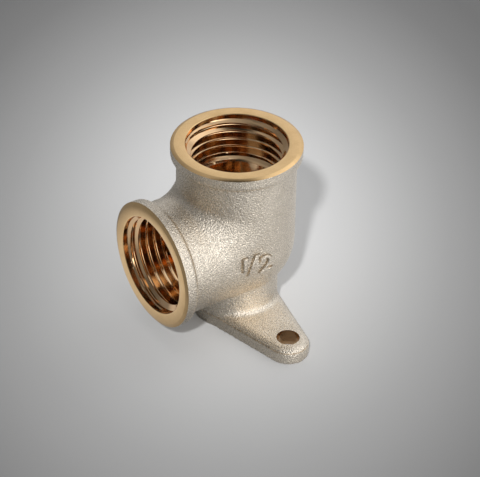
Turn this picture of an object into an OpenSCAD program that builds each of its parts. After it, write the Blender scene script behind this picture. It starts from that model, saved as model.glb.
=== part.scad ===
// Wall plate elbow with two G 1/2 female sockets at a right angle.
// The origin is the middle of the flat back of the wall plate, under the axis of the upper socket.
// +Z runs up along the upper socket, -X out of the side socket and Y along the two ears.

/* [Elbow body] */
// Height of the side socket's axis above the back of the wall plate
axis_h = 18.6; // [18:0.1:20]
// Outside radius of the upper socket and of the rounded knee
body_r = 12.3; // [12.1:0.1:12.6]
// Outside radius of the side socket
side_r = 12.1; // [11.9:0.1:12.2]
// Upper mouth's face above the side socket's axis
outlet_reach = 22.3; // [21.5:0.1:26]
// Side mouth's face from the upper socket's axis
inlet_reach = 20.9; // [20:0.1:25]
// Radius of the rounded inner corner between the two sockets
crotch_r = 2.2; // [1.2:0.1:3]

/* [Mouth collars] */
// Outside radius of the collar round each mouth
collar_r = 13.5; // [13.2:0.1:15]
// Width of each collar along its socket
collar_w = 2.8; // [2:0.1:4]
// Radius of the hollow corner behind each collar
collar_fillet_r = 0.7; // [0.3:0.1:1]
// Radius of the cast edge at the back of each collar
collar_round_r = 0.5; // [0.2:0.1:0.8]
// Width of the turned bevel on the face, across the face
bevel_w = 0.7; // [0.3:0.1:1]
// Depth of the turned bevel, along the socket
bevel_h = 0.35; // [0.2:0.05:0.8]

/* [Bores] */
// Radius of the short plain entry, which is also the thread's root
mouth_r = 10.5; // [10.3:0.05:10.8]
// Depth of the plain entry
mouth_d = 1.1; // [0.5:0.1:2]
// Radius of the threaded wall at the crests of the G 1/2 thread
thread_r = 9.32; // [9.2:0.01:9.5]
// Depth of the threaded wall below the mouth's face
thread_d = 11.6; // [9:0.1:12.5]
// Radius of the waterway through the knee
water_r = 8.8; // [7:0.1:9]
// How far the side waterway's radius is below the upper one's
water_step = 0.2; // [0.1:0.1:0.5]

/* [Foot and wall plate] */
// Radius of the round foot between the elbow and the plate
foot_r = 9; // [8.8:0.1:9.6]
// Radius of the hollow corner between the foot and the plate
foot_fillet_r = 1.2; // [0.6:0.1:1.6]
// Height of the plate's upright edge
edge_h = 2.7; // [2:0.1:3.2]
// Height of the domed top above the upright edge
dome_h = 1; // [0.7:0.1:1.2]
// Radius of the rounding that leads from the plate's flat top down to its edge
dome_r = 1.8; // [1.3:0.1:2]
// Width of the ledge where the domed top meets the upright edge
ledge_w = 0.12; // [0.05:0.01:0.3]
// Radius of the plate's middle, under the foot
plate_r = 8.8; // [8.5:0.1:8.8]
// Radius of each ear's tip
ear_r = 4.4; // [4.2:0.1:5]
// Distance between the two screw holes
hole_spacing = 38.9; // [37:0.1:44]
// Radius of each screw hole
hole_r = 2.4; // [2:0.05:2.5]

/* [Hidden] */
$fn = 96;
// One overrun for all cuts
over = bevel_h;
// What lies along a round part keeps just inside it
inside_share = 0.995;
// Tube radius of the bend that rounds the inner corner
bend_r = side_r * inside_share;
bend_axis = bend_r + crotch_r;
// Height of the plate and the place of each ear
plate_h = edge_h + dome_h;
ear_y = hole_spacing / 2;
// Inner, domed outlines
cap_mid_r = plate_r - ledge_w;
cap_tip_r = ear_r - ledge_w;
dome_run = sqrt(dome_r * dome_r - (dome_r - dome_h) * (dome_r - dome_h));
// Angle by which each ear's flanks close in towards the tip, and the flank's length
flank_a = asin((plate_r - ear_r) / ear_y);
flank_l = ear_y * cos(flank_a);
// Lead from the plain entry down to the threaded wall, at 45 degrees
lead = mouth_r - thread_r;

// Half section of a socket from the knee's middle to the mouth's face
module socket_section(r, reach) {
    difference() {
        union() {
            square([r, reach]);
            translate([0, reach - collar_w + collar_round_r])
                square([collar_r, collar_w - collar_round_r]);
            translate([0, reach - collar_w])
                square([collar_r - collar_round_r, collar_w]);
            translate([collar_r - collar_round_r, reach - collar_w + collar_round_r])
                circle(collar_round_r);
            // Hollow corner behind the collar
            translate([r, reach - collar_w - collar_fillet_r])
                difference() {
                    square([collar_fillet_r, collar_fillet_r]);
                    translate([collar_fillet_r, 0])
                        circle(collar_fillet_r);
                }
        }
        // Turned bevel on the face
        polygon([
            [collar_r - bevel_w, reach],
            [collar_r, reach - bevel_h],
            [collar_r + over, reach - bevel_h],
            [collar_r + over, reach + over],
            [collar_r - bevel_w, reach + over],
        ]);
    }
}

// Upper socket, closed below by the rounded knee
module upper_socket() {
    rotate_extrude() {
        socket_section(body_r, outlet_reach);
        intersection() {
            circle(body_r);
            translate([0, -body_r])
                square([body_r, body_r]);
        }
    }
}

// Side socket, lying along -X
module side_socket() {
    rotate([0, -90, 0])
        rotate_extrude()
            socket_section(side_r, inlet_reach);
}

// Bend whose inner side rounds the corner between the sockets
module inner_corner() {
    intersection() {
        translate([-bend_axis, 0, bend_axis])
            rotate([90, 0, 0])
                rotate_extrude()
                    translate([bend_axis, 0])
                        circle(bend_r);
        translate([-bend_axis, -body_r, 0])
            cube([bend_axis, body_r * 2, bend_axis]);
    }
}

// Stepped bore of one socket, from the knee's middle out through the face
module socket_bore(reach, r) {
    rotate_extrude()
        polygon([
            [0, 0],
            [r, 0],
            [r, reach - thread_d],
            [thread_r, reach - thread_d],
            [thread_r, reach - mouth_d - lead],
            [mouth_r, reach - mouth_d],
            [mouth_r, reach + over],
            [0, reach + over],
        ]);
}

// Both bores meet in a ball-ended waterway
module waterway() {
    socket_bore(outlet_reach, water_r);
    sphere(water_r);
    rotate([0, -90, 0])
        socket_bore(inlet_reach, water_r - water_step);
}

// Plan of one ear, from the plate's middle to its tip
module ear_plan(mid_r, tip_r) {
    mid = mid_r * inside_share;
    tip = tip_r * inside_share;
    circle(mid_r);
    translate([0, -ear_y])
        circle(tip_r);
    polygon([
        [mid * cos(flank_a), -mid * sin(flank_a)],
        [tip * cos(flank_a), -ear_y - tip * sin(flank_a)],
        [-tip * cos(flank_a), -ear_y - tip * sin(flank_a)],
        [-mid * cos(flank_a), -mid * sin(flank_a)],
    ]);
}

// Section of the domed edge, from the axis of a disc of radius r outwards
module dome_section(r) {
    square([r - dome_run, dome_h]);
    intersection() {
        translate([r - dome_run, dome_h - dome_r])
            circle(dome_r);
        translate([r - dome_run, 0])
            square([dome_run + over, dome_h + over]);
    }
}

// Domed top of one ear: a turned tip, two straight flanks and the flat between them
module ear_top() {
    translate([0, -ear_y, 0])
        rotate_extrude()
            dome_section(cap_tip_r);
    for (side = [0, 1])
        mirror([side, 0, 0])
            rotate([90, 0, -flank_a])
                linear_extrude(flank_l)
                    intersection() {
                        dome_section(cap_mid_r * inside_share);
                        translate([cap_mid_r - cap_tip_r, 0])
                            square([cap_tip_r, dome_h]);
                    }
    linear_extrude(dome_h)
        ear_plan(cap_mid_r - dome_run, cap_tip_r - dome_run);
}

// Wall plate with an ear on each side
module wall_plate() {
    for (side = [0, 1])
        mirror([0, side, 0]) {
            linear_extrude(edge_h)
                ear_plan(plate_r, ear_r);
            translate([0, 0, edge_h])
                ear_top();
        }
}

// Hollow corner round the foot, kept within the plate's flat top
module foot_corner() {
    intersection() {
        translate([0, 0, plate_h])
            rotate_extrude()
                translate([foot_r - over, 0])
                    difference() {
                        square([foot_fillet_r + over, foot_fillet_r]);
                        translate([foot_fillet_r + over, foot_fillet_r])
                            circle(foot_fillet_r);
                    }
        for (side = [0, 1])
            mirror([0, side, 0])
                linear_extrude(axis_h)
                    ear_plan(cap_mid_r - dome_run, cap_tip_r - dome_run);
    }
}

// Screw holes through both ears
module screw_holes() {
    for (side = [-1, 1])
        translate([0, side * ear_y, -over])
            cylinder(h = plate_h + over * 2, r = hole_r);
}

module elbow() {
    color([0.72, 0.69, 0.64])
        difference() {
            union() {
                translate([0, 0, axis_h]) {
                    upper_socket();
                    side_socket();
                    inner_corner();
                }
                cylinder(h = axis_h - water_r, r = foot_r);
                wall_plate();
                foot_corner();
            }
            translate([0, 0, axis_h])
                waterway();
            screw_holes();
        }
}

elbow();
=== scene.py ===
# %% [markdown]
# # Wall plate elbow
# A wall plate elbow joins two pipes at a corner and is screwed to the wall by its ears.
# The real one is a single piece of brass: pressed hot between two dies, blasted with sand,
# plated with matt nickel and then turned and threaded. So its skin is pale and rough, and
# every place that a cutting tool has touched is bare yellow brass.
# The script follows the same order: first the finishes, then a blank without bores, then the
# cutting tools, and at the end the floor, the light and the camera.

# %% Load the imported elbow
import math

import bmesh
import bpy
from mathutils import Matrix, Vector
from mathutils.bvhtree import BVHTree


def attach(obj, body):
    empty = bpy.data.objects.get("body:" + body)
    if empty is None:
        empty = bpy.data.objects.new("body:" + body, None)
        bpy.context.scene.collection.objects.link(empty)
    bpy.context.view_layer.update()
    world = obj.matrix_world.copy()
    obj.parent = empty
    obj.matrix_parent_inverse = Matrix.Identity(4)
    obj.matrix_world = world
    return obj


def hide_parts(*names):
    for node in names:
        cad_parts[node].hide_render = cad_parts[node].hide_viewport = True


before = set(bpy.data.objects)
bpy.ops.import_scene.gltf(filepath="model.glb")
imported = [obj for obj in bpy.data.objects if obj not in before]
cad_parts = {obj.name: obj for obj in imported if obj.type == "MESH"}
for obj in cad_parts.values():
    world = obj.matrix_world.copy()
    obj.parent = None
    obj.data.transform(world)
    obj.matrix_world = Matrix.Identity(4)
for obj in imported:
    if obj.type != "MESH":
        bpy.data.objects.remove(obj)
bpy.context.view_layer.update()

pressed_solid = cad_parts["elbow"]

# %% [markdown]
# ## Sizes
# The fitting is small, so it is modelled in millimetres and scaled to metres at the very end.
# The sizes are the ones that the solid was made with. Heights are counted from the back of the
# wall plate, and reaches from the point where the axes of the two sockets cross.

# %% Sizes in millimetres
AXIS_HEIGHT = 18.6
OUTLET_REACH = 22.3
INLET_REACH = 20.9
UPPER_RADIUS = 12.3
SIDE_RADIUS = 12.1
COLLAR_RADIUS = 13.5
COLLAR_WIDTH = 2.8
BEVEL_WIDTH = 0.7
BEVEL_DEPTH = 0.35
MOUTH_RADIUS = 10.5
MOUTH_DEPTH = 1.1
CREST_RADIUS = 9.32
WATERWAY_RADIUS = 8.8
WATERWAY_STEP = 0.2
PLATE_HEIGHT = 3.7
PLATE_RADIUS = 8.8
EAR_RADIUS = 4.4
EAR_PLACE = 19.45
EAR_HOLE_RADIUS = 2.4
# How far a plug or a cutter reaches past what it has to meet
OVER = 1.0
MILLIMETRE = 0.001
TO_METRES = Matrix.Scale(MILLIMETRE, 4)
TO_MILLIMETRES = Matrix.Scale(1 / MILLIMETRE, 4)
UPPER_SOCKET = Matrix.Translation((0, 0, AXIS_HEIGHT))
SIDE_SOCKET = UPPER_SOCKET @ Matrix.Rotation(math.radians(-90), 4, "Y")

# %% [markdown]
# ## Helpers
# Three small steps come back all through the script: turning a bmesh into an object, carrying out
# an object's modifiers so that the next step works on real vertices, and joining two pieces with
# a Boolean. The Manifold solver is fast and keeps closed meshes closed. With TRANSFER, a cut face
# takes the material of the tool that cut it, as a real tool leaves bare metal behind.


# %% Helpers for objects and meshes
def object_from(shape, name, finish):
    """Puts a bmesh into a new object of one material."""
    mesh = bpy.data.meshes.new(name)
    shape.to_mesh(mesh)
    shape.free()
    mesh.materials.append(finish)
    made = bpy.data.objects.new(name, mesh)
    bpy.context.scene.collection.objects.link(made)
    return made


def carry_out_modifiers(piece):
    bpy.context.view_layer.update()
    graph = bpy.context.evaluated_depsgraph_get()
    mesh = bpy.data.meshes.new_from_object(piece.evaluated_get(graph), depsgraph=graph)
    piece.modifiers.clear()
    piece.data = mesh


def combine(piece, other, operation):
    """Joins other to the piece, or cuts it away, and throws other away."""
    step = piece.modifiers.new(other.name, "BOOLEAN")
    step.operation = operation
    step.solver = "MANIFOLD"
    step.object = other
    step.material_mode = "TRANSFER"
    before = len(piece.data.polygons)
    carry_out_modifiers(piece)
    print(other.name, "faces", before, "to", len(piece.data.polygons))
    bpy.data.objects.remove(other)


# %% [markdown]
# ## Finishes
# The finishes come before the shapes, because the cutting tools hand their own brass to whatever
# they cut. Each one is a metal that reads Object coordinates, so its pattern sits still on the
# piece and needs no unwrapping.


# %% Helpers for finishes
def new_finish(name):
    finish = bpy.data.materials.new(name)
    finish.use_nodes = True
    nodes, links = finish.node_tree.nodes, finish.node_tree.links
    nodes.clear()
    output = nodes.new("ShaderNodeOutputMaterial")
    shader = nodes.new("ShaderNodeBsdfPrincipled")
    links.new(shader.outputs["BSDF"], output.inputs["Surface"])
    place = nodes.new("ShaderNodeTexCoord").outputs["Object"]
    return finish, nodes, links, shader, place


def grain(nodes, links, place, per_metre, detail, rough):
    """A noise with about per_metre grains in a metre."""
    noise = nodes.new("ShaderNodeTexNoise")
    noise.inputs["Scale"].default_value = per_metre
    noise.inputs["Detail"].default_value = detail
    noise.inputs["Roughness"].default_value = rough
    links.new(place, noise.inputs["Vector"])
    return noise.outputs["Fac"]


def ramp(nodes, links, value, stops):
    """Colours a value from 0 to 1 by stops, each a position and a colour."""
    node = nodes.new("ShaderNodeValToRGB")
    ends = node.color_ramp.elements
    for end, (position, colour) in ((ends[0], stops[0]), (ends[1], stops[-1])):
        end.position = position
        end.color = (*colour, 1)
    for position, colour in stops[1:-1]:
        ends.new(position).color = (*colour, 1)
    links.new(value, node.inputs["Fac"])
    return node.outputs["Color"]


def grey(*stops):
    return [(position, (value, value, value)) for position, value in stops]


# %% [markdown]
# ### Matt nickel
# The nickel lies on a skin that was blasted with sand: thousands of small dents, each with its own
# tiny highlight, under a warm grey that drifts a little from place to place. The dents are too
# small to model, so one fine noise lifts the surface as a bump and also makes the high places a
# little duller than the low ones. A second, coarse noise carries the drift in colour.

# %% Matt nickel
SAND_PER_METRE = 4000
PATCHES_PER_METRE = 260
DENT_DEPTH = 0.00021
# Nearly all of a noise's values lie between these two
NOISE_LOW, NOISE_HIGH = 0.3, 0.7
nickel, nodes, links, shader, place = new_finish("matt_nickel")
shader.inputs["Metallic"].default_value = 1.0
sand = grain(nodes, links, place, SAND_PER_METRE, 1.0, 0.5)
patches = grain(nodes, links, place, PATCHES_PER_METRE, 2.0, 0.5)
tone = ramp(nodes, links, patches,
            [(NOISE_LOW, (0.80, 0.715, 0.60)), (NOISE_HIGH, (0.87, 0.785, 0.67))])
links.new(tone, shader.inputs["Base Color"])
shine = nodes.new("ShaderNodeMapRange")
shine.inputs["From Min"].default_value = NOISE_LOW
shine.inputs["From Max"].default_value = NOISE_HIGH
shine.inputs["To Min"].default_value = 0.2
shine.inputs["To Max"].default_value = 0.34
links.new(sand, shine.inputs["Value"])
links.new(shine.outputs["Result"], shader.inputs["Roughness"])
bump = nodes.new("ShaderNodeBump")
bump.inputs["Strength"].default_value = 1.0
bump.inputs["Distance"].default_value = DENT_DEPTH
links.new(sand, bump.inputs["Height"])
links.new(bump.outputs["Normal"], shader.inputs["Normal"])

# %% [markdown]
# ### Turned and tapped brass
# The faces and bevels were turned on a lathe and are smooth, with a soft satin sheen. The threads
# were cut with a sharper tool and shine more; light that bounces from flank to flank is coloured
# each time, which makes the grooves a deep brown. One brass for both would be simpler, but it
# suits only one of them. So one helper makes two, each with its own colours and roughness.

# %% Turned and tapped brass
TARNISH_PER_METRE = 420


def bare_brass(name, dull, bright, roughness):
    finish, nodes, links, shader, place = new_finish(name)
    shader.inputs["Metallic"].default_value = 1.0
    tarnish = grain(nodes, links, place, TARNISH_PER_METRE, 3.0, 0.6)
    tone = ramp(nodes, links, tarnish, [(NOISE_LOW, dull), (NOISE_HIGH, bright)])
    links.new(tone, shader.inputs["Base Color"])
    shader.inputs["Roughness"].default_value = roughness
    return finish


turned = bare_brass("turned_brass", (0.77, 0.52, 0.255), (0.85, 0.585, 0.30), 0.18)
tapped = bare_brass("tapped_brass", (0.75, 0.50, 0.28), (0.81, 0.55, 0.32), 0.12)
print("finishes", [finish.name for finish in (nickel, turned, tapped)])

# %% [markdown]
# ## The blank
# Before it is cut, the pressing has no bores and is a little longer at each mouth. It could be
# built from new tubes and spheres, but the solid already has the right form. So a merged copy of
# the solid gets its bores and holes plugged and a disc of extra stock on each mouth, and voxel
# remeshing fuses the lot into one skin.

# %% Plug the bores and add stock
SKIN_VOXEL = 0.33
STOCK = 1.0
BORE_PLUG_OVERSIZE = 0.8
EAR_PLUG_OVERSIZE = 0.3


def rod(shape, radius, low, high, along):
    """Adds a round rod from low to high along a socket's axis."""
    place = along @ Matrix.Translation((0, 0, (low + high) / 2))
    bmesh.ops.create_cone(shape, cap_ends=True, segments=128, radius1=radius, radius2=radius,
                          depth=high - low, matrix=place)


def ear_place(side):
    return Matrix.Translation((0, side * EAR_PLACE, 0))


blank = bmesh.new()
blank.from_mesh(pressed_solid.data)
bmesh.ops.transform(blank, matrix=TO_MILLIMETRES, verts=blank.verts)
bmesh.ops.remove_doubles(blank, verts=blank.verts, dist=0.002)
for along, reach in ((UPPER_SOCKET, OUTLET_REACH), (SIDE_SOCKET, INLET_REACH)):
    rod(blank, MOUTH_RADIUS + BORE_PLUG_OVERSIZE, -OVER, reach, along)
    rod(blank, COLLAR_RADIUS, reach - COLLAR_WIDTH / 2, reach + STOCK, along)
for side in (-1, 1):
    rod(blank, EAR_HOLE_RADIUS + EAR_PLUG_OVERSIZE, 0, PLATE_HEIGHT, ear_place(side))
body = object_from(blank, "elbow_body", nickel)
remesh = body.modifiers.new("skin", "REMESH")
remesh.mode = "VOXEL"
remesh.voxel_size = SKIN_VOXEL
carry_out_modifiers(body)
print("skin faces", len(body.data.polygons))

# %% [markdown]
# ## Soft corners
# Hot metal never fills a die's sharp corners, and blasting rounds them further. Bevels on so many
# crossing edges would be hard work; a few rounds of vertex smoothing on the even voxel skin soften
# every corner at once. The domed top of the plate is softer still and gets more rounds. What has
# crept up from the flat back is set down again.

# %% Soften the corners
SOFT_ROUNDS = 3
DOME_ROUNDS = 8
DOME_FOOT = 2.95
DOME_TOP = PLATE_HEIGHT + 0.03
BACK_SKIN = 0.06


def soften(shape, verts, rounds):
    for _ in range(rounds):
        bmesh.ops.smooth_vert(shape, verts=verts, factor=0.5,
                              use_axis_x=True, use_axis_y=True, use_axis_z=True)


skin = bmesh.new()
skin.from_mesh(body.data)
soften(skin, skin.verts, SOFT_ROUNDS)
dome = [corner for corner in skin.verts if DOME_FOOT < corner.co.z < DOME_TOP]
soften(skin, dome, DOME_ROUNDS)
for corner in skin.verts:
    if corner.co.z < BACK_SKIN:
        corner.co.z = 0
skin.to_mesh(body.data)
skin.free()
print("points of the domed top", len(dome))

# %% [markdown]
# ## The size mark
# The dies press a raised 1/2 into the flank, with the 1 a little above the 2, and sink a fine
# groove round each stroke. Three plain text objects with a rounded edge are made meshes, fitted to
# their places and laid on the skin: each point goes straight back until it meets the flank, and
# keeps its own height above it. The same letters, drawn a little wider, first cut the groove.

# %% Lay the numerals on the flank
MARK_HEIGHT = 0.5
MARK_ROOT = 0.5
MARK_SIZE = 5.3
MARK_THIN = -0.14
MARK_ROUND = 0.18
GROOVE_WIDTH = 0.2
GROOVE_DEPTH = 0.4
# Each sign with its left, right, foot and top on the flank
MARKS = (("1", -6.5, -5.5, 18.5, 21.7),
         ("/", -5.3, -2.7, 17.2, 21.5),
         ("2", -2.4, 0.6, 16.7, 20.8))
IN_FRONT = -30
INWARDS = Vector((0, 1, 0))
flank = bmesh.new()
flank.from_mesh(body.data)
flank_tree = BVHTree.FromBMesh(flank)
flank.free()


def fitted_sign(text, grow, thick, left, right, foot, top):
    """The mesh of one sign, upright in its place on the flank, its strokes wider by grow."""
    curve = bpy.data.curves.new("mark", "FONT")
    curve.body = text
    curve.size = MARK_SIZE
    curve.offset = MARK_THIN
    curve.extrude = thick / 2 - MARK_ROUND
    curve.bevel_depth = MARK_ROUND
    curve.bevel_resolution = 2
    curve.resolution_u = 5
    lettering = bpy.data.objects.new("mark", curve)
    bpy.context.scene.collection.objects.link(lettering)
    bpy.context.view_layer.update()
    flat = bpy.data.meshes.new_from_object(lettering)
    xs, ys = [c.co.x for c in flat.vertices], [c.co.y for c in flat.vertices]
    fit = Matrix.Diagonal(((right - left) / (max(xs) - min(xs)),
                           (top - foot) / (max(ys) - min(ys)), 1, 1))
    upright = Matrix.Translation((left, 0, foot)) @ Matrix.Rotation(math.pi / 2, 4, "X")
    if grow:
        curve.offset += grow
        bpy.context.view_layer.update()
        flat = bpy.data.meshes.new_from_object(lettering)
    flat.transform(upright @ fit @ Matrix.Translation((-min(xs), -min(ys), 0)))
    bpy.data.objects.remove(lettering)
    return flat


def numerals(name, grow, low, high):
    """The whole mark as a solid that goes from low to high over the skin."""
    marks = bmesh.new()
    for text, *edges in MARKS:
        marks.from_mesh(fitted_sign(text, grow, high - low, *edges))
    bmesh.ops.remove_doubles(marks, verts=marks.verts, dist=0.001)
    for point in marks.verts:
        hit = flank_tree.ray_cast(Vector((point.co.x, IN_FRONT, point.co.z)), INWARDS)[0]
        point.co.y += hit.y - (high + low) / 2
    bmesh.ops.recalc_face_normals(marks, faces=marks.faces)
    print(name, "faces", len(marks.faces), "open", sum(e.is_boundary for e in marks.edges))
    return object_from(marks, name, nickel)


combine(body, numerals("mark_groove", GROOVE_WIDTH, -GROOVE_DEPTH, OVER), "DIFFERENCE")
combine(body, numerals("size_mark", 0, -MARK_ROOT, MARK_HEIGHT), "UNION")

# %% [markdown]
# ## Parting line
# The two dies meet round the plate, where the domed top steps down to the upright edge, and leave
# a thin dark line there. The plate's outline is the hull of a disc in the middle and a smaller one
# at each tip. The cutter is such a slab a little larger than the plate, less one a little smaller,
# so it follows the whole edge at one depth.

# %% Cut the parting line
LINE_LOW, LINE_HIGH = 2.56, 2.8
LINE_DEPTH = 0.3


def plate_slab(name, grow, low, high):
    """The plate's outline as a slab, larger than the plate by grow."""
    slab = bmesh.new()
    for radius, side in ((PLATE_RADIUS, 0), (EAR_RADIUS, 1), (EAR_RADIUS, -1)):
        rod(slab, radius + grow, low, high, ear_place(side))
    hull = bmesh.ops.convex_hull(slab, input=slab.verts)
    spare = [part for part in hull["geom_interior"] + hull["geom_unused"]
             if isinstance(part, bmesh.types.BMVert)]
    bmesh.ops.delete(slab, geom=spare, context="VERTS")
    kept = set(hull["geom"])
    bmesh.ops.delete(slab, geom=[face for face in slab.faces if face not in kept],
                     context="FACES_ONLY")
    bmesh.ops.recalc_face_normals(slab, faces=slab.faces)
    return object_from(slab, name, nickel)


line = plate_slab("parting_line", OVER, LINE_LOW, LINE_HIGH)
combine(line, plate_slab("line_core", -LINE_DEPTH, LINE_LOW - OVER, LINE_HIGH + OVER), "DIFFERENCE")
combine(body, line, "DIFFERENCE")

# %% [markdown]
# ## Collar creases
# A dark line runs behind each collar, where the die has a sharp inner corner. It is faint under
# the upper collar and plain behind the side one. Each is cut with a thin ring of square section.
# Round shapes like this ring and the facing tools all come from one helper: a chain of edges drawn
# as radius and height, spun once round the axis.


# %% Turning helpers
def section(shape, points):
    """An open chain of edges in the XZ plane, given as radius and height."""
    corners = [shape.verts.new((radius, 0, height)) for radius, height in points]
    return [shape.edges.new(pair) for pair in zip(corners, corners[1:])] + corners


def turned_object(name, points, along, finish):
    """Turns a section once round a socket's axis."""
    shape = bmesh.new()
    bmesh.ops.spin(shape, geom=section(shape, points), cent=(0, 0, 0), axis=(0, 0, 1),
                   angle=math.tau, steps=160, use_merge=True, use_duplicate=False)
    bmesh.ops.remove_doubles(shape, verts=shape.verts, dist=0.0005)
    bmesh.ops.recalc_face_normals(shape, faces=shape.faces)
    bmesh.ops.transform(shape, matrix=along, verts=shape.verts)
    return object_from(shape, name, finish)


# %% Cut a crease behind each collar
CREASE_WIDTH = 0.6
CREASE_REACH = 0.8
UPPER_CREASE_DEPTH = 0.05
SIDE_CREASE_DEPTH = 0.5


def collar_crease(name, radius, reach, deep, along):
    """A ring that ends at the collar's back and goes deep into the socket's wall."""
    inner, outer = radius - deep, radius + CREASE_REACH
    back = reach - COLLAR_WIDTH
    front = back - CREASE_WIDTH
    ring = [(inner, front), (outer, front), (outer, back), (inner, back), (inner, front)]
    return turned_object(name, ring, along, nickel)


for crease in (("upper_crease", UPPER_RADIUS, OUTLET_REACH, UPPER_CREASE_DEPTH, UPPER_SOCKET),
               ("side_crease", SIDE_RADIUS, INLET_REACH, SIDE_CREASE_DEPTH, SIDE_SOCKET)):
    combine(body, collar_crease(*crease), "DIFFERENCE")

# %% [markdown]
# ## Facing tools
# On the real fitting a lathe cuts each mouth flat, breaks its inner edge and turns the bevel at
# its rim, all in one go. Here one turned shape does the same: its section runs along the finished
# face, and everything above that goes, with the extra stock. A small step down at each edge
# catches the light as a broken edge does.

# %% Make the facing tools
EDGE_BREAK = 0.1
EDGE_DROP = 0.02
BEVEL_OVER = 0.05
RIM_CLEARANCE = 2


def facing_tool(name, reach, along):
    rim = COLLAR_RADIUS - BEVEL_WIDTH
    bevel_height = reach - BEVEL_DEPTH - BEVEL_OVER
    outside, top = COLLAR_RADIUS + RIM_CLEARANCE, reach + STOCK + OVER
    return turned_object(name, [
        (0, reach - MOUTH_DEPTH / 2),
        (MOUTH_RADIUS - EDGE_BREAK, reach - MOUTH_DEPTH / 2),
        (MOUTH_RADIUS - EDGE_BREAK, reach - 2 * EDGE_BREAK),
        (MOUTH_RADIUS, reach - EDGE_BREAK),
        (MOUTH_RADIUS + EDGE_BREAK, reach - EDGE_DROP),
        (MOUTH_RADIUS + 2 * EDGE_BREAK, reach),
        (rim - EDGE_BREAK, reach),
        (rim, reach - EDGE_DROP),
        (COLLAR_RADIUS + EDGE_BREAK, bevel_height),
        (outside, bevel_height),
        (outside, top),
        (0, top),
    ], along, turned)


facing_tools = [facing_tool("upper_facing", OUTLET_REACH, UPPER_SOCKET),
                facing_tool("side_facing", INLET_REACH, SIDE_SOCKET)]
print("faces of the facing tools", [len(tool.data.polygons) for tool in facing_tools])

# %% [markdown]
# ## Taps
# A pipe thread is one groove that winds round the bore, with flanks at 55 degrees and rounded
# roots. Rings would be easier, but they would not join up when one looks into the bore. So the tap
# is a true screw: the section of one thread is spun round the axis and lifted by one pitch in each
# turn, and its ends are cut flat. The radius of every point is then held between the lead cone at
# the mouth, which leads the pipe in, and the shallow run-out at the bottom, where a real tap stops.

# %% Section of the thread
PITCH = 1.814
# Points of half a thread, as height along the bore and depth beyond the crest
CREST = [(0, 0.0), (0.05, 0.0), (0.075, 0.02)]
FLANK = [(0.28, 0.41), (0.48, 0.79)]
ROOT = [(0.66, 1.12), (0.74, 1.16), (0.907, 1.17)]
half_thread = CREST + FLANK + ROOT
thread = half_thread + [(PITCH - z, r) for z, r in reversed(half_thread[:-1])]
print("points in one thread", len(thread))

# %% Shape of the tap
TAP_DEPTH = 10.4
STEPS_PER_TURN = 120
TURNS = 9
TURNS_BELOW_FACE = 8
CREST_PLACE = 0.14
TOP_CLEARANCE = 0.6
LEAD_SLOPE = 1.25
RUN_OUT = 1.0
SHOULDER = 0.25


def screw(reach):
    """The thread's section wound round the axis, open at both ends."""
    start = reach - PITCH * TURNS_BELOW_FACE + CREST_PLACE
    tool = bmesh.new()
    bmesh.ops.spin(tool, geom=section(tool, [(CREST_RADIUS + r, start + z) for z, r in thread]),
                   cent=(0, 0, 0), axis=(0, 0, 1), angle=math.tau * TURNS,
                   dvec=(0, 0, PITCH / STEPS_PER_TURN), steps=STEPS_PER_TURN * TURNS)
    bmesh.ops.remove_doubles(tool, verts=tool.verts, dist=0.001)
    for height, outwards in ((reach - TAP_DEPTH, -1), (reach + TOP_CLEARANCE, 1)):
        everything = tool.verts[:] + tool.edges[:] + tool.faces[:]
        bmesh.ops.bisect_plane(tool, geom=everything, dist=0.0001, plane_co=(0, 0, height),
                               plane_no=(0, 0, outwards), clear_outer=True)
    return tool


def tapped_radius(radius, depth):
    """The radius of a point of the screw, held between lead cone and run-out."""
    lead = MOUTH_RADIUS - LEAD_SLOPE * max(0, depth - MOUTH_DEPTH)
    shallow = CREST_RADIUS + (TAP_DEPTH - depth) / RUN_OUT * (MOUTH_RADIUS - CREST_RADIUS)
    return max(CREST_RADIUS, min(max(radius, lead), max(CREST_RADIUS, shallow)))


# %% [markdown]
# The open lower end of the screw is drawn in to the waterway's radius, taken down to the knee and
# closed, so the same tool also drills the waterway.


# %% Close the taps
def tap(name, reach, water_radius, along):
    tool = screw(reach)
    for point in tool.verts:
        radius = math.hypot(point.co.x, point.co.y)
        wanted = tapped_radius(radius, reach - point.co.z)
        point.co.x *= wanted / radius
        point.co.y *= wanted / radius
    rims = [edge for edge in tool.edges if edge.is_boundary]
    lower = [edge for edge in rims if edge.verts[0].co.z < reach - TAP_DEPTH / 2]
    upper = [edge for edge in rims if edge not in lower]
    down_to_knee = reach - TAP_DEPTH - SHOULDER
    for scale, drop in ((water_radius / CREST_RADIUS, SHOULDER), (1, down_to_knee)):
        fresh = bmesh.ops.extrude_edge_only(tool, edges=lower)["geom"]
        ring = [part for part in fresh if isinstance(part, bmesh.types.BMVert)]
        lower = [part for part in fresh if isinstance(part, bmesh.types.BMEdge)]
        bmesh.ops.scale(tool, vec=(scale, scale, 1), verts=ring)
        bmesh.ops.translate(tool, vec=(0, 0, -drop), verts=ring)
    bmesh.ops.edgeloop_fill(tool, edges=lower)
    bmesh.ops.edgeloop_fill(tool, edges=upper)
    bmesh.ops.recalc_face_normals(tool, faces=tool.faces)
    bmesh.ops.transform(tool, matrix=along, verts=tool.verts)
    print(name, "faces", len(tool.faces), "open edges", sum(e.is_boundary for e in tool.edges))
    return object_from(tool, name, tapped)


taps = [tap("upper_tap", OUTLET_REACH, WATERWAY_RADIUS, UPPER_SOCKET),
        tap("side_tap", INLET_REACH, WATERWAY_RADIUS - WATERWAY_STEP, SIDE_SOCKET)]

# %% [markdown]
# ## Knee and ear holes
# Where the two drilled passages meet, a ball-nosed cutter leaves a rounded corner. The holes in
# the ears are plain drilled holes. A sphere and two rods are all that takes.

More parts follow.
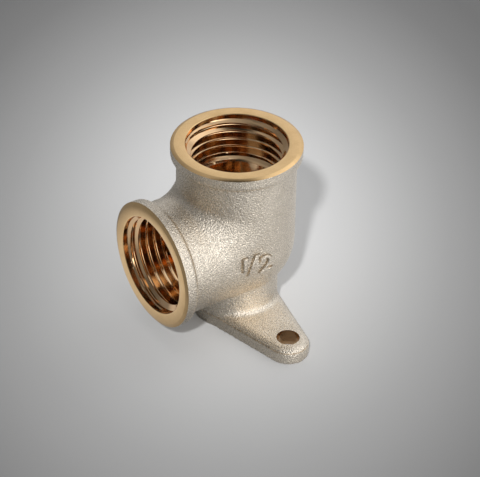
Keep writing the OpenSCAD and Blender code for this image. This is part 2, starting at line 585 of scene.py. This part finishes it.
# %% Make the ball-nosed cutter and the drills
BALL_OVERSIZE = 0.1
ball = bmesh.new()
bmesh.ops.create_uvsphere(ball, u_segments=96, v_segments=48,
                          radius=WATERWAY_RADIUS + BALL_OVERSIZE, matrix=UPPER_SOCKET)
ball_cutter = object_from(ball, "ball_cutter", tapped)
drill = bmesh.new()
for side in (-1, 1):
    rod(drill, EAR_HOLE_RADIUS, -OVER, PLATE_HEIGHT + OVER, ear_place(side))
drills = object_from(drill, "ear_drills", tapped)
print("ear holes", 2 * EAR_PLACE, "mm apart")

# %% [markdown]
# ## Cutting and finishing
# The tools are taken off the blank one after another, as on the real machine. The pressed skin
# is shaded smooth, and edges where two cuts meet are marked sharp. A thread's flanks meet at small
# angles, so between tapped faces a much smaller angle already counts as sharp; else smooth shading
# would smear each crest into a wide pale band.

# %% Cut the blank
for tool in (*facing_tools, *taps, ball_cutter, drills):
    combine(body, tool, "DIFFERENCE")

# %% Scale to metres and mark the sharp edges
SHARP_ANGLE = math.radians(38)
SHARP_ANGLE_IN_THREAD = math.radians(15)
body.data.transform(TO_METRES)
body.data.shade_smooth()
body.data.set_sharp_from_angle(angle=SHARP_ANGLE)
tapped_index = body.data.materials.find("tapped_brass")
shape = bmesh.new()
shape.from_mesh(body.data)
for edge in shape.edges:
    if all(face.material_index == tapped_index for face in edge.link_faces):
        edge.smooth = edge.calc_face_angle(0) < SHARP_ANGLE_IN_THREAD
shape.to_mesh(body.data)
shape.free()
print("materials", [finish.name for finish in body.data.materials], "triangles",
      sum(len(face.vertices) - 2 for face in body.data.polygons))

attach(body, "root")
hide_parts("elbow")

# %% [markdown]
# ## Floor
# The ground is grey, lightest behind the fitting and darker evenly all round. That pool of light is
# painted into the floor's colour: a gradient by distance from one point, stretched along the view
# so that it looks round to the camera. A lamp could make such a pool of light too, but it would
# light the metal as well, which does not show it. So glossy rays, the ones that reflections follow,
# see a plainer table instead, with painted light of its own: pale towards the windows and in a
# patch beside the side socket, whose face reflects it, and darker elsewhere.

# %% Painted pool of light on the ground, as the camera sees it
VIEW_AZIMUTH = math.radians(-35.28)
VIEW_ELEVATION = math.radians(36.27)
FLOOR_HALF_WIDTH = 3.0
GROUND_MIDDLE = (0.0167, 0.0262, 0)
GROUND_REACH = 0.1
# Share of the reach from the middle, and how light the painted pool of light leaves the ground
# there
PAINTED_POOL_OF_LIGHT = grey((0.0, 0.62), (0.186, 0.572), (0.263, 0.51), (0.342, 0.432), (0.414, 0.365),
              (0.486, 0.305), (0.6, 0.233), (0.69, 0.182), (0.8, 0.15))
ground, nodes, links, shader, place = new_finish("grey_ground")
shader.inputs["Roughness"].default_value = 0.9
shader.inputs["Specular IOR Level"].default_value = 0.1
middle = nodes.new("ShaderNodeMapping")
middle.vector_type = "TEXTURE"
middle.inputs["Location"].default_value = GROUND_MIDDLE
middle.inputs["Rotation"].default_value = (0, 0, VIEW_AZIMUTH)
middle.inputs["Scale"].default_value = (1, 1 / math.sin(VIEW_ELEVATION), 1)
links.new(place, middle.inputs["Vector"])
length = nodes.new("ShaderNodeVectorMath")
length.operation = "LENGTH"
links.new(middle.outputs["Vector"], length.inputs[0])
share = nodes.new("ShaderNodeMath")
share.operation = "MULTIPLY"
share.inputs[1].default_value = 1 / GROUND_REACH
links.new(length.outputs["Value"], share.inputs[0])
painted_pool = ramp(nodes, links, share.outputs["Value"], PAINTED_POOL_OF_LIGHT)

# %% Painted light on the table, as the metal sees it in its reflections
BRIGHT_SIDE = math.radians(65)
HALF_SPREAD = 0.05
PATCH_PLACE = (-0.034, 0.019, 0)
PATCH_EDGE = 0.042
PATCH_CORE = 0.010
PATCH_LIGHT = 0.6
across = nodes.new("ShaderNodeVectorMath")
across.operation = "DOT_PRODUCT"
across.inputs[1].default_value = (math.sin(BRIGHT_SIDE), -math.cos(BRIGHT_SIDE), 0)
links.new(place, across.inputs[0])
spread = nodes.new("ShaderNodeMapRange")
spread.inputs["From Min"].default_value = -HALF_SPREAD
spread.inputs["From Max"].default_value = HALF_SPREAD
links.new(across.outputs["Value"], spread.inputs["Value"])
# Painted light: the table is pale on the side of the windows and darker away from it
painted_table_light = ramp(nodes, links, spread.outputs["Result"],
              grey((0.0, 0.2), (0.4, 0.22), (0.56, 0.32), (0.75, 0.48)))
# Painted light: a pale patch beside the side socket, where its face reflects the table
off_patch = nodes.new("ShaderNodeVectorMath")
off_patch.operation = "DISTANCE"
off_patch.inputs[1].default_value = PATCH_PLACE
links.new(place, off_patch.inputs[0])
painted_patch_light = nodes.new("ShaderNodeMapRange")
painted_patch_light.inputs["From Min"].default_value = PATCH_EDGE
painted_patch_light.inputs["From Max"].default_value = PATCH_CORE
painted_patch_light.inputs["To Max"].default_value = PATCH_LIGHT
links.new(off_patch.outputs["Value"], painted_patch_light.inputs["Value"])
lighter = nodes.new("ShaderNodeMath")
lighter.operation = "MAXIMUM"
links.new(painted_table_light, lighter.inputs[0])
links.new(painted_patch_light.outputs["Result"], lighter.inputs[1])

# %% Lay the floor
# Glossy rays see the table's painted light, all other rays the painted pool of light
colour = nodes.new("ShaderNodeMix")
colour.data_type = "RGBA"
links.new(nodes.new("ShaderNodeLightPath").outputs["Is Glossy Ray"], colour.inputs["Factor"])
links.new(painted_pool, colour.inputs["A"])
links.new(lighter.outputs["Value"], colour.inputs["B"])
links.new(colour.outputs["Result"], shader.inputs["Base Color"])
floor_shape = bmesh.new()
bmesh.ops.create_grid(floor_shape, x_segments=1, y_segments=1, size=FLOOR_HALF_WIDTH)
floor = object_from(floor_shape, "floor", ground)
print("floor is", 2 * FLOOR_HALF_WIDTH, "m wide")

# %% [markdown]
# ## Sky
# Polished and satin metal shows what stands round it, so the room matters more than any lamp. The
# bands on the nickel tell where the studio's light came from: a broad pale side to the right, two
# bright soft windows in front of the side socket, and a dark ceiling right above, which makes the
# middle of the threads dark. The sky is a sum of soft round glows. Each one is a ramp over the
# angle between the sky's direction and the glow's own: 1 is straight at it, 0 straight away.

# %% Start the sky
world = bpy.data.worlds.new("room")
bpy.context.scene.world = world
world.use_nodes = True
nodes, links = world.node_tree.nodes, world.node_tree.links
outlook = nodes.new("ShaderNodeTexCoord").outputs["Generated"]


def direction(azimuth, elevation):
    """Unit vector from the fitting towards an azimuth and elevation; azimuth 0 points to -Y, 90 to
    +X.
    """
    a, e = math.radians(azimuth), math.radians(elevation)
    return Vector((math.sin(a) * math.cos(e), -math.cos(a) * math.cos(e), math.sin(e)))


def glow(azimuth, elevation, *stops):
    turned_away = nodes.new("ShaderNodeVectorMath")
    turned_away.operation = "DOT_PRODUCT"
    turned_away.inputs[1].default_value = direction(azimuth, elevation)
    links.new(outlook, turned_away.inputs[0])
    half_way = nodes.new("ShaderNodeMath")
    half_way.operation = "MULTIPLY_ADD"
    half_way.inputs[1].default_value = 0.5
    half_way.inputs[2].default_value = 0.5
    links.new(turned_away.outputs["Value"], half_way.inputs[0])
    return ramp(nodes, links, half_way.outputs["Value"], grey(*stops))


def sum_of(first, second):
    total = nodes.new("ShaderNodeMath")
    total.operation = "ADD"
    links.new(first, total.inputs[0])
    links.new(second, total.inputs[1])
    return total.outputs["Value"]


# %% Add the glows
sky = glow(75, 10, (0.0, 0.13), (0.25, 0.17), (0.4, 0.25), (0.5, 0.38), (0.62, 0.49), (1.0, 0.51))
for window in (glow(8, 28, (0.89, 0.0), (0.945, 0.55), (0.975, 1.1), (1.0, 1.15)),
               glow(-12, 9, (0.925, 0.0), (0.965, 0.6), (0.987, 1.3), (1.0, 1.4)),
               glow(30, 24, (0.97, 0.0), (0.985, 0.3), (1.0, 0.4)),
               glow(85, 50, (0.95, 0.0), (0.98, 0.45), (1.0, 0.6)),
               glow(110, 15, (0.82, 0.0), (0.93, 0.17), (1.0, 0.22)),
               glow(140, 38, (0.93, 0.0), (0.975, 0.16), (1.0, 0.16)),
               glow(-135, 66, (0.95, 0.0), (0.98, 0.08), (1.0, 0.1))):
    sky = sum_of(sky, window)
links.new(sky, nodes["Background"].inputs["Color"])

# %% Darken the ceiling
height = nodes.new("ShaderNodeSeparateXYZ")
links.new(outlook, height.inputs["Vector"])
ceiling = ramp(nodes, links, height.outputs["Z"],
               grey((0.0, 1.0), (0.94, 1.0), (0.985, 0.15), (1.0, 0.04)))
links.new(ceiling, nodes["Background"].inputs["Strength"])
print("nodes in the sky", len(nodes))

# %% [markdown]
# ## Lamps
# Two round lamps fill in what the sky leaves out on the floor. The smaller one throws the shadow
# that falls to the right of the upper socket; the wide one, right above, keeps it from being too
# dark. Neither is seen in the metal, because the glows already are all that it should show.

# %% Lamps
AIM = Vector((0, 0, 0.018))
LAMP_DISTANCE = 2.5


def floor_lamp(name, azimuth, elevation, size, watts):
    """A round soft lamp that looks at the fitting and leaves no highlight on it."""
    light = bpy.data.lights.new(name, "AREA")
    light.shape = "DISK"
    light.size = size
    light.energy = watts
    made = bpy.data.objects.new(name, light)
    back = direction(azimuth, elevation)
    made.location = AIM + back * LAMP_DISTANCE
    made.rotation_euler = (-back).to_track_quat("-Z", "Y").to_euler()
    made.visible_glossy = False
    bpy.context.scene.collection.objects.link(made)
    print(name, "at", [round(c, 2) for c in made.location])


floor_lamp("shadow_lamp", -43.5, 43, 0.13, 42)
floor_lamp("wide_lamp", 0, 88, 2.0, 10)

# %% [markdown]
# ## Camera
# The camera is set up from four things read off the photograph: how far round and how high it
# stands, how much it is rolled, how many pixels its focal length takes, and where the crossing of
# the two axes lies in the picture and how far away that is. From these it is placed by turning the
# picture's own axes into the world and stepping back from the crossing.

# %% Camera
VIEW_ROLL = math.radians(1.1)
FRAME_WIDTH, FRAME_HEIGHT = 480, 477
FOCAL_PIXELS = 2357.7
CROSSING_PIXEL = (235.36, 232.04)
CROSSING_DEPTH = 0.4880
SENSOR_WIDTH = 36
sight = Vector((-math.sin(VIEW_AZIMUTH) * math.cos(VIEW_ELEVATION),
                math.cos(VIEW_AZIMUTH) * math.cos(VIEW_ELEVATION), -math.sin(VIEW_ELEVATION)))
level = Vector((math.cos(VIEW_AZIMUTH), math.sin(VIEW_AZIMUTH), 0))
upward = level.cross(sight)
right = level * math.cos(VIEW_ROLL) + upward * math.sin(VIEW_ROLL)
upward = upward * math.cos(VIEW_ROLL) - level * math.sin(VIEW_ROLL)
aside = (CROSSING_PIXEL[0] - FRAME_WIDTH / 2) * CROSSING_DEPTH / FOCAL_PIXELS
above = -(CROSSING_PIXEL[1] - FRAME_HEIGHT / 2) * CROSSING_DEPTH / FOCAL_PIXELS
crossing = Vector((0, 0, AXIS_HEIGHT * MILLIMETRE))
stand = crossing - right * aside - upward * above - sight * CROSSING_DEPTH
camera = bpy.data.objects.new("camera", bpy.data.cameras.new("camera"))
camera.matrix_world = Matrix.Translation(stand) @ Matrix(
    (right, upward, -sight)).transposed().to_4x4()
camera.data.sensor_width = SENSOR_WIDTH
camera.data.lens = FOCAL_PIXELS * SENSOR_WIDTH / FRAME_WIDTH
camera.data.clip_start, camera.data.clip_end = 0.01, 20
bpy.context.scene.collection.objects.link(camera)
bpy.context.scene.camera = camera
bpy.context.scene.view_settings.view_transform = "Standard"
print("camera stands at", [round(c, 3) for c in stand])
